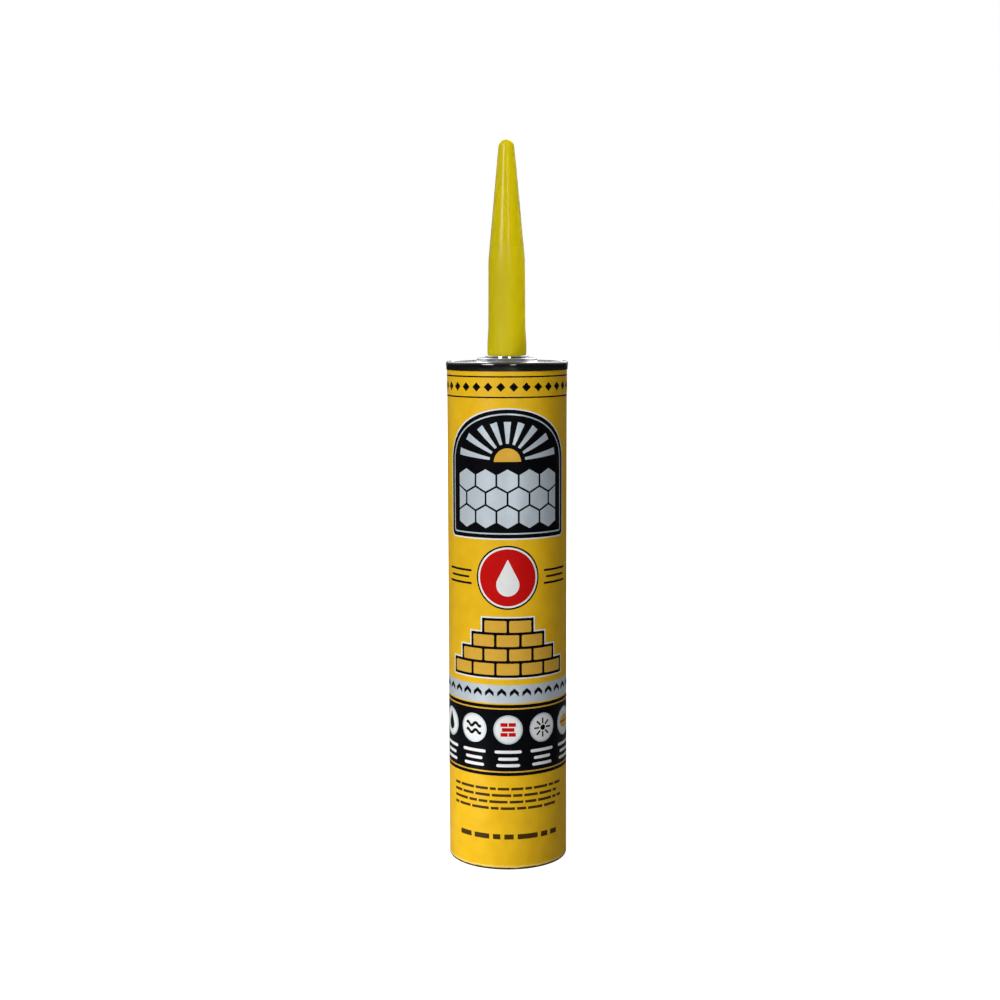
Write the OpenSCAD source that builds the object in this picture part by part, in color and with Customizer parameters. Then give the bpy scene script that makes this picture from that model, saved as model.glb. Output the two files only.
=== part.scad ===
// Sealant cartridge for a caulking gun: a spiral-wound board tube in a printed paper
// label, closed at the top by a seamed metal end that holds a moulded nozzle, with a
// foil seal, the filling and the plunger that pushes it out. Millimetres, +Z up. The
// origin is the centre of the open end, which the cartridge stands on.

/* [Board tube] */
// Height from the open end to the top of the metal rim
body_h = 213; // [150:1:300]
// Inside diameter of the tube
bore_d = 47.5; // [42:0.5:60]
// Thickness of the wound board, foil liner included
board_t = 1.4; // [1.1:0.1:2.5]
// Rounding of the cut edge at the open end
cut_edge_r = 0.3; // [0.1:0.05:0.45]

/* [Printed label] */
// Thickness of the label paper
label_t = 0.13; // [0.08:0.01:0.3]
// Bare board between the open end and the label
label_foot = 0.5; // [0.2:0.1:6]
// Distance from the top of the metal rim down to the label's hidden top edge
label_head = 1.1; // [0.9:0.1:2.2]

/* [Metal end] */
// Thickness of the sheet
sheet_t = 0.3; // [0.2:0.02:0.4]
// Height of the skirt that grips the outside of the tube
rim_h = 3.45; // [2.8:0.05:6]
// Radius of the bends that round the crown of the rim
rim_bend_r = 0.75; // [0.5:0.05:0.8]
// Outward lean of the skirt from its foot to the rim
rim_flare = 0.25; // [0.2:0.05:0.4]
// How far the skirt's foot is pressed into the label and the board
crimp_bite = 0.1; // [0.06:0.02:0.2]
// Depth of the groove inside the rim
groove_depth = 1.85; // [1.5:0.05:3]
// Width of the groove
groove_w = 1.3; // [1.2:0.05:2.5]
// Drop from the rim to the outer edge of the panel
panel_drop = 0.35; // [0.2:0.05:0.8]
// Rise of the panel from its outer edge to the boss
panel_rise = 0.5; // [0:0.1:2]
// Diameter of the boss in the middle of the panel
boss_d = 24.6; // [22:0.2:34]
// Height of the boss above the panel
boss_h = 1.2; // [0.8:0.05:2.5]
// Height of the collar above the boss
collar_h = 1; // [0.9:0.05:2]
// Width of the collar's turned-in lip
lip_w = 0.75; // [0.7:0.05:1.2]

/* [Nozzle] */
// Height of the closed tip above the metal rim
nozzle_reach = 91.7; // [70:0.1:120]
// Diameter of the nozzle's foot
foot_d = 16.3; // [13:0.1:18]
// Height of the foot above the collar
foot_h = 5.3; // [2:0.1:12]
// Height of the taper from the foot to the shank
flare_h = 6.4; // [3:0.1:12]
// Diameter of the shank where the taper ends
shank_foot_d = 15.5; // [12:0.1:17]
// Diameter of the shank at its shoulder
shank_d = 15.2; // [11:0.1:16.5]
// Height of the shoulder above the metal rim
shoulder_h = 42; // [24:0.5:60]
// Radius of the bend in the outline at the shoulder
shoulder_r = 20; // [5:1:60]
// Diameter of the closed tip
tip_d = 6.1; // [4.4:0.1:9]
// Thickness of the closed tip
tip_t = 1.8; // [1:0.1:4]
// Thickness of the nozzle's wall
nozzle_wall = 1.35; // [0.8:0.05:1.8]
// Thickness of the flange under the metal end
flange_t = 1.3; // [0.8:0.1:2]

/* [Foil membrane] */
// Thickness of the foil
foil_t = 0.12; // [0.05:0.01:0.25]
// Width of the flange's edge that the foil leaves bare
foil_inset = 0.3; // [0.1:0.1:1]

/* [Plunger] */
// Depth of the plunger's rear edge inside the open end
plunger_inset = 17; // [5:1:60]
// Height of the plunger's side
plunger_h = 19; // [15:0.5:36]
// Rise of the domed crown above the side
crown_rise = 3.6; // [1:0.2:8]
// Thickness of the plunger's wall and crown
plunger_wall = 1.4; // [0.9:0.1:2.4]
// Height of each wiper lip
wiper_h = 2; // [1:0.1:3]
// How far the wiper lips stand out from the side
wiper_out = 0.7; // [0.3:0.1:1.2]
// Width of the groove behind the front wiper lip
wiper_groove_w = 0.7; // [0.4:0.1:1.5]
// Depth of the groove behind the front wiper lip
wiper_groove_h = 1.6; // [0.8:0.1:2.6]
// Number of ribs under the crown
rib_count = 8; // [4:1:12]
// Thickness of the ribs and of their hub ring
rib_t = 1.2; // [0.8:0.1:2]
// Depth of the ribs inside the plunger's rear edge
rib_inset = 9; // [4:0.5:11]
// Outside diameter of the hub ring that joins the ribs
hub_d = 16; // [10:0.5:24]

/* [Fits] */
// Clearance around glued paper and foil
glue_gap = 0.02; // [0.01:0.01:0.05]
// Clearance of the metal end on the board, the label and the nozzle
seat_gap = 0.05; // [0.03:0.01:0.08]
// Clearance above the board's top edge inside the rim
head_gap = 0.2; // [0.1:0.05:0.4]
// Clearance between the nozzle's flange and the step of the boss
flange_gap = 0.9; // [0.7:0.1:1.5]
// Running clearance of the plunger in the tube, on the radius
plunger_gap = 0.05; // [0.03:0.01:0.08]
// Clearance of the filling along the tube's wall
fill_side_gap = 0.1; // [0.1:0.05:0.3]
// Clearance of the filling above the plunger and below the metal end
fill_gap = 0.3; // [0.2:0.05:0.6]

/* [Hidden] */
$fn = 96;
chord_gap = 0.015;

// Board and label. The board's top corners follow the rim's bends, each up to a share of
// the board's thickness.
bore_r = bore_d / 2;
board_r = bore_r + board_t;
board_round_share = 0.45;
board_head_r = min(rim_bend_r - sheet_t / 2, board_round_share * board_t);
label_bore_r = board_r + glue_gap;
label_r = label_bore_r + label_t;

// Metal end, along the middle of its sheet
rim_z = body_h - sheet_t / 2;
skirt_z = body_h - rim_h;
skirt_foot_r = label_r - crimp_bite + seat_gap + sheet_t / 2;
skirt_top_r = skirt_foot_r + rim_flare;
chuck_r = bore_r - seat_gap - sheet_t / 2;
groove_z = rim_z - groove_depth;
groove_bend_r = 0.4;
panel_r = chuck_r - groove_w;
panel_z = rim_z - panel_drop;
panel_lean = 0.3;
crimp_lead = 0.3;
boss_r = boss_d / 2;
boss_foot_z = panel_z + panel_rise;
boss_lean = 0.55;
boss_z = boss_foot_z + boss_h;
collar_bend_r = 0.35;
collar_r = foot_d / 2 + seat_gap + lip_w;
collar_z = boss_z + collar_h;

// Nozzle
flange_z = boss_z - sheet_t / 2 - seat_gap;
flange_r = boss_r - flange_gap;
flange_foot_z = flange_z - flange_t;
hub_z = collar_z - sheet_t / 2 - seat_gap;
hub_r = collar_r - sheet_t / 2 - seat_gap;
hub_edge_r = collar_bend_r - sheet_t / 2;
foot_z = collar_z + foot_h;
shank_z = foot_z + flare_h;
shoulder_z = body_h + shoulder_h;
tip_z = body_h + nozzle_reach;
bore_lead = 0.5;

// Foil membrane and filling
foil_r = flange_r - foil_inset;
foil_z = flange_foot_z - glue_gap - foil_t;
fill_r = bore_r - fill_side_gap;
fill_cap_r = panel_r - sheet_t - fill_gap;
fill_cap_z = min(foil_z, panel_z - sheet_t / 2) - fill_gap;
fill_rim_z = groove_z - sheet_t / 2 - fill_gap;

// Plunger
wiper_r = bore_r - plunger_gap;
side_r = wiper_r - wiper_out;
cup_r = side_r - plunger_wall;
wiper_edge = 0.4;
wiper_tip_w = 0.6;
crown_r = wiper_r - wiper_tip_w - wiper_groove_w - wiper_out;
crown_z = plunger_inset + plunger_h;
cup_corner_r = 1.5;
dome_steps = 6;

// Direction of a vector
function unit(v) = v / norm(v);

// Direction at a right angle to the step from a to b
function across(a, b) = let (d = unit(b - a)) [-d[1], d[0]];

// Number of straight steps that keep within chord_gap of an arc
function arc_steps(angle, r) = max(1, ceil(angle / (2 * acos(1 - chord_gap / r))));

// Arc that rounds corner b between a and c: from one point of touch it turns about the
// centre to the other, in equal angles
function corner_arc(a, b, c, r) =
    let (
        u = unit(a - b),
        v = unit(c - b),
        half = acos(u * v) / 2,
        centre = b + unit(u + v) * r / sin(half),
        start = b + u * r / tan(half) - centre,
        end = b + v * r / tan(half) - centre,
        angle = 180 - 2 * half,
        n = arc_steps(angle, r)
    )
    [for (k = [0:n]) centre + (start * sin(angle * (1 - k / n)) + end * sin(angle * k / n)) / sin(angle)];

// Outline from rows of [radius, height, corner radius]; a corner radius of 0 stays sharp
function rounded(rows) =
    let (n = len(rows), p = [for (row = rows) [row[0], row[1]]])
    [for (i = [0:n - 1]) each rows[i][2] > 0
        ? corner_arc(p[(i + n - 1) % n], p[i], p[(i + 1) % n], rows[i][2])
        : [p[i]]];

// Offset at point i of a path that keeps both neighbouring steps at distance 1
function mitre(path, i) =
    let (
        last = len(path) - 1,
        before = across(path[max(i - 1, 0)], path[max(i, 1)]),
        after = across(path[min(i, last - 1)], path[min(i + 1, last)]),
        sum = before + after
    )
    sum * 2 / (sum * sum);

// Closed outline of a sheet of thickness t whose middle follows the path
function sheet_outline(path, t) =
    let (last = len(path) - 1)
    concat(
        [for (i = [0:last]) path[i] + mitre(path, i) * t / 2],
        [for (i = [last:-1:0]) path[i] - mitre(path, i) * t / 2]
    );

// Points of a shallow dome from its middle at height top out to radius edge, drop below
function dome(edge, top, drop) =
    let (ball = (edge * edge + drop * drop) / (2 * drop))
    [for (k = [0:dome_steps]) let (r = edge * k / dome_steps) [r, top - ball + sqrt(ball * ball - r * r)]];

function reversed(list) = [for (i = [len(list) - 1:-1:0]) list[i]];

// Radius r as the crimp leaves it at height z, from its deepest at the skirt's foot
function crimped(r, z) = r - crimp_bite * (rim_z - z) / (rim_z - skirt_z);

// Solid turned from an outline of [radius, height] points
module turned(outline) {
    rotate_extrude() polygon(outline);
}

// Wound board tube: plain cut edge at the open end, waisted by the crimp under the skirt
module cartridge_tube() {
    head_z = body_h - sheet_t - head_gap;
    color([0.63, 0.53, 0.4])
        turned(rounded([
            [bore_r, 0, cut_edge_r],
            [board_r, 0, cut_edge_r],
            [board_r, skirt_z - crimp_lead, 0],
            [board_r - crimp_bite, skirt_z, 0],
            [crimped(board_r, head_z), head_z, board_head_r],
            [bore_r, head_z, board_head_r]
        ]));
}

// Paper label glued round the tube, with its top edge hidden under the metal skirt
module printed_label() {
    head_z = body_h - label_head;
    color([0.91, 0.71, 0.12])
        turned([
            [label_bore_r, label_foot],
            [label_r, label_foot],
            [label_r, skirt_z - crimp_lead],
            [label_r - crimp_bite, skirt_z],
            [crimped(label_r, head_z), head_z],
            [crimped(label_bore_r, head_z), head_z],
            [label_bore_r - crimp_bite, skirt_z],
            [label_bore_r, skirt_z - crimp_lead]
        ]);
}

// Pressed end, from the skirt's foot over the rim, down into the groove, up the panel
// and the boss to the collar's turned-in lip
module metal_end() {
    middle = rounded([
        [skirt_foot_r, skirt_z, 0],
        [skirt_top_r, rim_z, rim_bend_r],
        [chuck_r, rim_z, rim_bend_r],
        [chuck_r, groove_z, groove_bend_r],
        [panel_r, groove_z, groove_bend_r],
        [panel_r - panel_lean, panel_z, groove_bend_r],
        [boss_r + boss_lean, boss_foot_z, groove_bend_r],
        [boss_r, boss_z, groove_bend_r],
        [collar_r, boss_z, collar_bend_r],
        [collar_r, collar_z, collar_bend_r],
        [foot_d / 2 + seat_gap, collar_z, 0]
    ]);
    color([0.72, 0.73, 0.76]) turned(sheet_outline(middle, sheet_t));
}

// One-piece moulding: flange and hub under the metal end, then foot, shank, cone and tip
module nozzle() {
    outside = rounded([
        [flange_r, flange_foot_z, 0.3],
        [flange_r, flange_z, 0.3],
        [hub_r, flange_z, 0],
        [hub_r, hub_z, hub_edge_r],
        [foot_d / 2, hub_z, 0],
        [foot_d / 2, foot_z, flare_h],
        [shank_foot_d / 2, shank_z, flare_h],
        [shank_d / 2, shoulder_z, shoulder_r],
        [tip_d / 2, tip_z, tip_d / 2],
        [0, tip_z, 0],
        [0, flange_foot_z, 0]
    ]);
    inside = rounded([
        [0, flange_foot_z, 0],
        [foot_d / 2 - nozzle_wall + bore_lead, flange_foot_z, 0],
        [foot_d / 2 - nozzle_wall, flange_foot_z + bore_lead, 0],
        [foot_d / 2 - nozzle_wall, foot_z, flare_h],
        [shank_foot_d / 2 - nozzle_wall, shank_z, flare_h],
        [shank_d / 2 - nozzle_wall, shoulder_z, shoulder_r],
        [tip_d / 2 - nozzle_wall, tip_z - tip_t, tip_d / 2 - nozzle_wall],
        [0, tip_z - tip_t, 0]
    ]);
    shell = concat(
        [for (p = outside) if (p[0] > 0 || p[1] > flange_z) p],
        reversed([for (p = inside) if (p[0] > 0 || p[1] > flange_z) p])
    );
    color([0.78, 0.7, 0.1]) turned(shell);
}

// Foil disc glued under the flange, pierced before use
module foil_membrane() {
    color([0.8, 0.81, 0.83])
        translate([0, 0, foil_z])
        cylinder(h = foil_t, r = foil_r);
}

// Moulded cup with a domed crown, two wiper lips and ribs that the gun's plate pushes on
module plunger() {
    cup = concat(
        rounded([
            [cup_r, plunger_inset, wiper_edge],
            [wiper_r - wiper_edge, plunger_inset, 0],
            [wiper_r, plunger_inset + wiper_edge, 0],
            [wiper_r, plunger_inset + wiper_h, 0],
            [side_r, plunger_inset + wiper_h + wiper_out, wiper_edge],
            [side_r, crown_z - wiper_h - 2 * wiper_out, wiper_edge],
            [wiper_r, crown_z - wiper_h, 0],
            [wiper_r, crown_z - wiper_edge, 0],
            [wiper_r - wiper_tip_w, crown_z, 0],
            [crown_r + wiper_groove_w, crown_z - wiper_groove_h, 0],
            [crown_r, crown_z - wiper_groove_h, 0],
            [crown_r, crown_z, 0]
        ]),
        reversed(dome(crown_r - wiper_edge, crown_z + crown_rise, crown_rise)),
        dome(cup_r - cup_corner_r, crown_z + crown_rise - plunger_wall, crown_rise),
        [[cup_r, crown_z - plunger_wall - cup_corner_r]]
    );
    color([0.93, 0.93, 0.9])
        union() {
            turned(cup);
            plunger_ribs();
        }
}

// Ribs and hub ring, which end inside the thickness of the crown and the side
module plunger_ribs() {
    rib_z = plunger_inset + rib_inset;
    top_z = crown_z + crown_rise - plunger_wall / 2;
    reach = cup_r - cup_corner_r + plunger_wall / 2;
    intersection() {
        union() {
            for (k = [0:rib_count - 1])
                rotate(360 * k / rib_count)
                translate([hub_d / 2 - rib_t / 2, -rib_t / 2, rib_z])
                cube([cup_r, rib_t, top_z - rib_z]);
            translate([0, 0, rib_z])
            difference() {
                cylinder(h = top_z - rib_z, r = hub_d / 2);
                translate([0, 0, -1]) cylinder(h = top_z - rib_z + 2, r = hub_d / 2 - rib_t);
            }
        }
        turned(concat(
            [[0, rib_z], [cup_r + plunger_wall / 2, rib_z]],
            [[cup_r + plunger_wall / 2, crown_z - plunger_wall - cup_corner_r]],
            reversed(dome(reach, top_z, crown_rise))
        ));
    }
}

// Filling between the plunger's crown and the metal end
module adhesive_fill() {
    floor_z = crown_z + fill_gap;
    color([0.86, 0.82, 0.72])
        turned(concat(
            dome(crown_r, floor_z + crown_rise, crown_rise),
            [
                [fill_r, floor_z],
                [fill_r, fill_rim_z],
                [fill_cap_r, fill_rim_z],
                [fill_cap_r, fill_cap_z],
                [0, fill_cap_z]
            ]
        ));
}

cartridge_tube();
printed_label();
metal_end();
nozzle();
foil_membrane();
plunger();
adhesive_fill();
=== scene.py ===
import bmesh
import bpy
import numpy as np
from mathutils import Matrix, Vector


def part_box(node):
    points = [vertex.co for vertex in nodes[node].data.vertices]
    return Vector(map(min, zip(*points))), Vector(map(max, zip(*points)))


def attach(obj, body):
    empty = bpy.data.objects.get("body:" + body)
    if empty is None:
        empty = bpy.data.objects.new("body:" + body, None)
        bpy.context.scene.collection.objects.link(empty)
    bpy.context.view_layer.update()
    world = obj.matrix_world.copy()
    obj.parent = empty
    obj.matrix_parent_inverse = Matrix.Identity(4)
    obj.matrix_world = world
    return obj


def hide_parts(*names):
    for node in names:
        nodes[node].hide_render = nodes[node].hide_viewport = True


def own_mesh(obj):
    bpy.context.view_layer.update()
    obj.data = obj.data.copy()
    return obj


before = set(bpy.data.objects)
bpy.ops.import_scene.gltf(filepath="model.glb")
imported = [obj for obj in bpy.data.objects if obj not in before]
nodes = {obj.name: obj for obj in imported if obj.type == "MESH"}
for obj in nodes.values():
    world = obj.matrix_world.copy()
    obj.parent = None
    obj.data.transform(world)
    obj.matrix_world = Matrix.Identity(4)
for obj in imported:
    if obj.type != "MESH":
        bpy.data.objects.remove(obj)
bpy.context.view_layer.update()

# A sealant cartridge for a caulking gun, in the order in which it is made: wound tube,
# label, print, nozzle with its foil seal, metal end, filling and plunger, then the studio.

# Board tube
# Grey-brown board plies and a foil liner, wound on a mandrel in a spiral, glued into one
# wall and cut square. The plies show as rings on the cut edge, their laps as a helix.

MM = 0.001
BEND_STEP = 0.16          # angle between two points of a rounded corner
SHARP_EDGE = 0.61         # faces that meet at more than this stay sharp
PLY_PITCH = 0.094         # rise of the spiral lap in one turn
PLY_T = 0.23              # of one ply of board
CUT_EDGE_R = 0.3
HEAD_EDGE_R = 0.6         # of the board's top edge, which fills the rim's crown
LINER_T = 0.06
LIP_GAP = 0.05            # between the plunger's lips and the bore
RIM_ABOVE_BOARD = 0.5     # top of the metal rim over the board's top edge
SKIRT_H = 3.45            # from the metal skirt's foot to the top of the rim
SHEET_T = 0.3             # of the metal end
CRIMP_BITE = 0.1          # how deep the skirt's crimp waists the tube and the label
CRIMP_LEAD = 0.3          # height in which the wall leans in to the skirt's foot


def reach(node):
    """Outer radius, lowest and highest height of a turned node, in millimetres, from its
    box in the frame."""
    low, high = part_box(node)
    return high.x / MM, low.z / MM, high.z / MM


def unit(v):
    """v divided by its length."""
    return v / np.linalg.norm(v)


def rounded(rows, step=BEND_STEP):
    """Outline from rows of radius, height and corner radius. Each corner becomes the arc
    that touches both its sides, in equal angles of at most step; radius 0 stays sharp."""
    p = np.array([row[:2] for row in rows], float)
    pieces = []
    for i, (_, _, r) in enumerate(rows):
        if r <= 0:
            pieces.append(p[i:i + 1])
            continue
        u = unit(p[i - 1] - p[i])
        v = unit(p[(i + 1) % len(p)] - p[i])
        half = np.arccos(np.clip(u @ v, -1, 1)) / 2
        centre = p[i] + unit(u + v) * r / np.sin(half)
        start = p[i] + u * r / np.tan(half) - centre
        end = p[i] + v * r / np.tan(half) - centre
        angle = np.pi - 2 * half
        k = np.linspace(0, 1, max(2, int(np.ceil(angle / step)) + 1))[:, None]
        arc = start * np.sin(angle * (1 - k)) + end * np.sin(angle * k)
        pieces.append(centre + arc / np.sin(angle))
    return np.concatenate(pieces)


def quads(rows, columns, close_rows):
    """Faces between neighbouring points of a grid that closes on itself across its
    columns, and down its rows as well if close_rows."""
    i = np.arange(rows if close_rows else rows - 1)[:, None]
    j = np.arange(columns)[None, :]
    k = (j + 1) % columns
    below = (i + 1) % rows
    corners = [i * columns + j, i * columns + k, below * columns + k, below * columns + j]
    return np.stack(np.broadcast_arrays(*corners), -1).reshape(-1, 4)


def around(count):
    """count equal angles round the axis, from the back; 0 is the front of the label."""
    return np.linspace(-np.pi, np.pi, count, endpoint=False)


def turned(outline, angles, raise_by=None):
    """Surface swept by the outline round the axis: x is r sin t and y is -r cos t. It is
    a ring, or closed by its two poles where the outline starts and ends on the axis.
    raise_by(r, z, t) is added to the radius."""
    r, t = np.meshgrid(outline[:, 0], angles, indexing="ij")
    z = np.repeat(outline[:, 1:], len(angles), axis=1)
    if raise_by is not None:
        r = r + raise_by(r, z, t)
    points = np.stack([r * np.sin(t), -r * np.cos(t), z], -1).reshape(-1, 3)
    on_axis = outline[0, 0] < 1e-9 and outline[-1, 0] < 1e-9
    return points, quads(len(outline), len(angles), not on_axis)


def solid(name, surfaces, finishes, choose=None):
    """One mesh from surfaces of points in millimetres and faces: doubles merged, normals
    outward, smooth up to SHARP_EDGE. choose(r, z) gives each face's finish by number."""
    starts = np.cumsum([0] + [len(points) for points, _ in surfaces[:-1]])
    points = np.concatenate([points for points, _ in surfaces]) * MM
    faces = np.concatenate([faces + start for (_, faces), start in zip(surfaces, starts)])
    mesh = bpy.data.meshes.new(name)
    mesh.from_pydata(points.tolist(), [], faces.tolist())
    shell = bmesh.new()
    shell.from_mesh(mesh)
    bmesh.ops.remove_doubles(shell, verts=shell.verts, dist=1e-7)
    bmesh.ops.recalc_face_normals(shell, faces=shell.faces)
    shell.to_mesh(mesh)
    shell.free()
    mesh.shade_smooth()
    mesh.set_sharp_from_angle(angle=SHARP_EDGE)
    for finish in finishes:
        mesh.materials.append(finish)
    if choose is not None:
        centres = np.zeros(len(mesh.polygons) * 3)
        mesh.polygons.foreach_get("center", centres)
        x, y, z = centres.reshape(-1, 3).T / MM
        mesh.polygons.foreach_set("material_index", choose(np.hypot(x, y), z).astype(np.int32))
    piece = bpy.data.objects.new(name, mesh)
    bpy.context.scene.collection.objects.link(piece)
    return piece


def ink(red, green, blue):
    """Linear colour of an sRGB colour given in 0 to 255."""
    c = np.array([red, green, blue]) / 255
    linear = np.where(c <= 0.04045, c / 12.92, ((c + 0.055) / 1.055) ** 2.4)
    return (*linear.tolist(), 1.0)


class Finish:
    """A Principled material built step by step. Sockets take a number, a colour or the
    output of another step, and all patterns read the piece's Object coordinates."""

    def __init__(self, name, colour, roughness, **sockets):
        self.material = bpy.data.materials.new(name)
        self.material.use_nodes = True
        self.nodes = self.material.node_tree.nodes
        self.shader = self.nodes["Principled BSDF"]
        self.place = self.add("TexCoord", out="Object")
        self.fit(self.shader, {"Base Color": colour, "Roughness": roughness})
        self.fit(self.shader, {key.replace("_", " "): v for key, v in sockets.items()})

    def fit(self, node, sockets):
        """Sets each socket to a value, or joins it to an output."""
        for key, value in sockets.items():
            if isinstance(value, bpy.types.NodeSocket):
                self.material.node_tree.links.new(value, node.inputs[key])
            else:
                node.inputs[key].default_value = value

    def add(self, kind, sockets=None, out=0, **settings):
        """One node of that kind; returns its output."""
        node = self.nodes.new("ShaderNode" + kind)
        for key, value in settings.items():
            setattr(node, key, value)
        self.fit(node, sockets or {})
        return node.outputs[out]

    def calc(self, operation, a, b=0.0, c=0.0):
        """a and b, and c where it counts, put through one sum."""
        return self.add("Math", {0: a, 1: b, 2: c}, operation=operation)

    def clouds(self, scale, detail=2.0, stretch=(1, 1, 1), rough=0.5):
        """Noise from 0 to 1 with scale cells to the metre, times stretch along each axis."""
        place = self.add("Mapping", {"Vector": self.place, "Scale": stretch})
        return self.add("TexNoise", {"Vector": place, "Scale": scale, "Detail": detail,
                                     "Roughness": rough})

    def between(self, value, low, high, start=0.0, end=1.0):
        """value from low to high carried over to start to end on a smooth step, and held
        beyond them."""
        return self.add("MapRange", {"Value": value, "From Min": low, "From Max": high,
                                     "To Min": start, "To Max": end},
                        interpolation_type="SMOOTHSTEP")

    def mix(self, share, a, b):
        """Colour a where share is 0, b where it is 1."""
        return self.add("Mix", {0: share, 6: a, 7: b}, out=2, data_type="RGBA")

    def part(self, axis):
        """Object coordinate along X, Y or Z, in metres."""
        return self.add("SeparateXYZ", {0: self.place}, out=axis)

    def radius(self):
        """Distance from the tube's axis, the root of x squared plus y squared."""
        x, y = self.part("X"), self.part("Y")
        return self.calc("SQRT", self.calc("ADD", self.calc("MULTIPLY", x, x),
                                           self.calc("MULTIPLY", y, y)))

    def helix(self, pitch, width, shift=0.0):
        """1 on a helix of that pitch round the axis and 0 beyond width from it: height
        over pitch plus the turn's share, its fraction compared with the middle."""
        turn = self.calc("ARCTAN2", self.part("X"), self.part("Y"))
        phase = self.calc("MULTIPLY_ADD", turn, 0.5 / np.pi, shift)
        phase = self.calc("FRACT", self.calc("MULTIPLY_ADD", self.part("Z"), 1 / pitch, phase))
        off = self.calc("ABSOLUTE", self.calc("SUBTRACT", phase, 0.5))
        return self.between(off, 0.0, width / pitch, 1.0, 0.0)

    def relief(self, height, depth, before=None):
        """Bump whose height runs from 0 to depth in metres, over any bump before it."""
        sockets = {"Height": height, "Strength": 1.0, "Distance": depth}
        if before is not None:
            sockets["Normal"] = before
        normal = self.add("Bump", sockets)
        self.fit(self.shader, {"Normal": normal})
        return normal


board_r, _, board_top = reach("cartridge_tube")
bore_r = reach("plunger")[0] + LIP_GAP
rim_top = board_top + RIM_ABOVE_BOARD
rim_mid = rim_top - SHEET_T / 2
skirt_foot = rim_top - SKIRT_H


def crimped(r, z):
    """Radius r as the crimp leaves it at height z: deepest at the skirt's foot, and back
    to r at the middle of the rim's sheet."""
    return r - CRIMP_BITE * (rim_mid - z) / (rim_mid - skirt_foot)


kraft = Finish("wound_board", ink(186, 164, 134), 0.85, Specular_IOR_Level=0.25)
fibre = kraft.clouds(420, 5, (1, 1, 2.2))
ply = kraft.calc("FRACT", kraft.calc("MULTIPLY", kraft.radius(), 1 / (PLY_T * MM)))
ply_line = kraft.between(ply, 0.0, 0.22, 1.0, 0.0)
cut_edge = kraft.between(kraft.part("Z"), 0.12 * MM, 0.4 * MM, 1.0, 0.0)
ring = kraft.calc("MULTIPLY", ply_line, cut_edge)
colour = kraft.mix(kraft.between(fibre, 0.35, 0.7), ink(164, 140, 108), ink(200, 178, 148))
colour = kraft.mix(kraft.between(kraft.clouds(95, 3), 0.45, 0.75), colour, ink(150, 128, 98))
colour = kraft.mix(kraft.calc("MULTIPLY", ring, 0.7), colour, ink(98, 78, 56))
# Painted shade: the board turns near black at its foot, for the contact shadow where it stands
foot_shade = kraft.between(kraft.part("Z"), 0.4 * MM, 1.2 * MM, 0.95, 0.0)
colour = kraft.mix(foot_shade, colour, ink(44, 32, 12))
kraft.fit(kraft.shader, {"Base Color": colour})
coat = kraft.relief(fibre, 0.00006)
kraft.relief(ring, -0.00005, coat)

liner = Finish("foil_liner", ink(196, 198, 200), 0.32, Metallic=1.0)
lap = liner.helix(PLY_PITCH, 0.0011, 0.2)
stain = liner.clouds(140, 4, (1, 1, 0.35))
liner.fit(liner.shader, {
    "Base Color": liner.mix(lap, liner.mix(stain, ink(206, 207, 208), ink(170, 171, 172)),
                            ink(120, 116, 110)),
    "Roughness": liner.between(stain, 0.3, 0.75, 0.24, 0.42),
})
liner.relief(lap, 0.00005, liner.relief(liner.clouds(700, 3), 0.00002))

tube_rows = [
    (bore_r, 0, CUT_EDGE_R),
    (board_r, 0, CUT_EDGE_R),
    (board_r, skirt_foot - CRIMP_LEAD, 0),
    (board_r - CRIMP_BITE, skirt_foot, 0),
    (crimped(board_r, board_top), board_top, HEAD_EDGE_R),
    (bore_r, board_top, HEAD_EDGE_R),
]
tube = solid("tube", [turned(rounded(tube_rows), around(360))],
             [kraft.material, liner.material],
             lambda r, z: (r < bore_r + LINER_T) & (z > CUT_EDGE_R))
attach(tube, "cartridge")
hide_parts("cartridge_tube")

# Label
# Yellow coated paper, wrapped once round the tube and glued along a lap at the back. Its
# top edge is caught under the metal rim. Along its lower edge a pale band is painted, both
# a painted highlight where the rounded edge catches light and pale worn paper, and under it
# a dark band of painted shade for the contact shadow at its foot.

label_r, label_foot, label_top = reach("printed_label")
PAPER_T = 0.15            # with its glue
PAPER_EDGE_R = 0.03
LAP_STEP = 0.08           # how far the lap stands out
LAP_W = 8.0               # arc length of the lap
LAP_RAMP = 2.0
LAP_CUT = 0.0002          # angle that the lap's cut edge takes up
YELLOW = ink(242, 193, 30)
half_girth = np.pi * label_r


def lap_height(s):
    """Rise of the paper at arc length s from the front: 0, then up a smooth ramp over the
    edge below, and level as far as the cut edge at the back."""
    k = np.clip((s - half_girth + LAP_W + LAP_RAMP) / LAP_RAMP, 0, 1)
    return LAP_STEP * k * k * (3 - 2 * k)


def paper_relief(finish, shine):
    """Grain of the coated paper, soft waves from the glue and the ridge of the board's
    lap, as one bump; shine is the gloss, which the same waves vary."""
    grain = finish.relief(finish.clouds(1500, 3), 0.000012)
    waves = finish.clouds(55, 2, (1, 1, 0.5))
    swell = finish.relief(waves, 0.00035, grain)
    finish.relief(finish.helix(PLY_PITCH, 0.0022), 0.00005, swell)
    finish.fit(finish.shader, {"Roughness": finish.between(waves, 0.3, 0.7, shine - 0.04,
                                                           shine + 0.05)})


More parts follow.
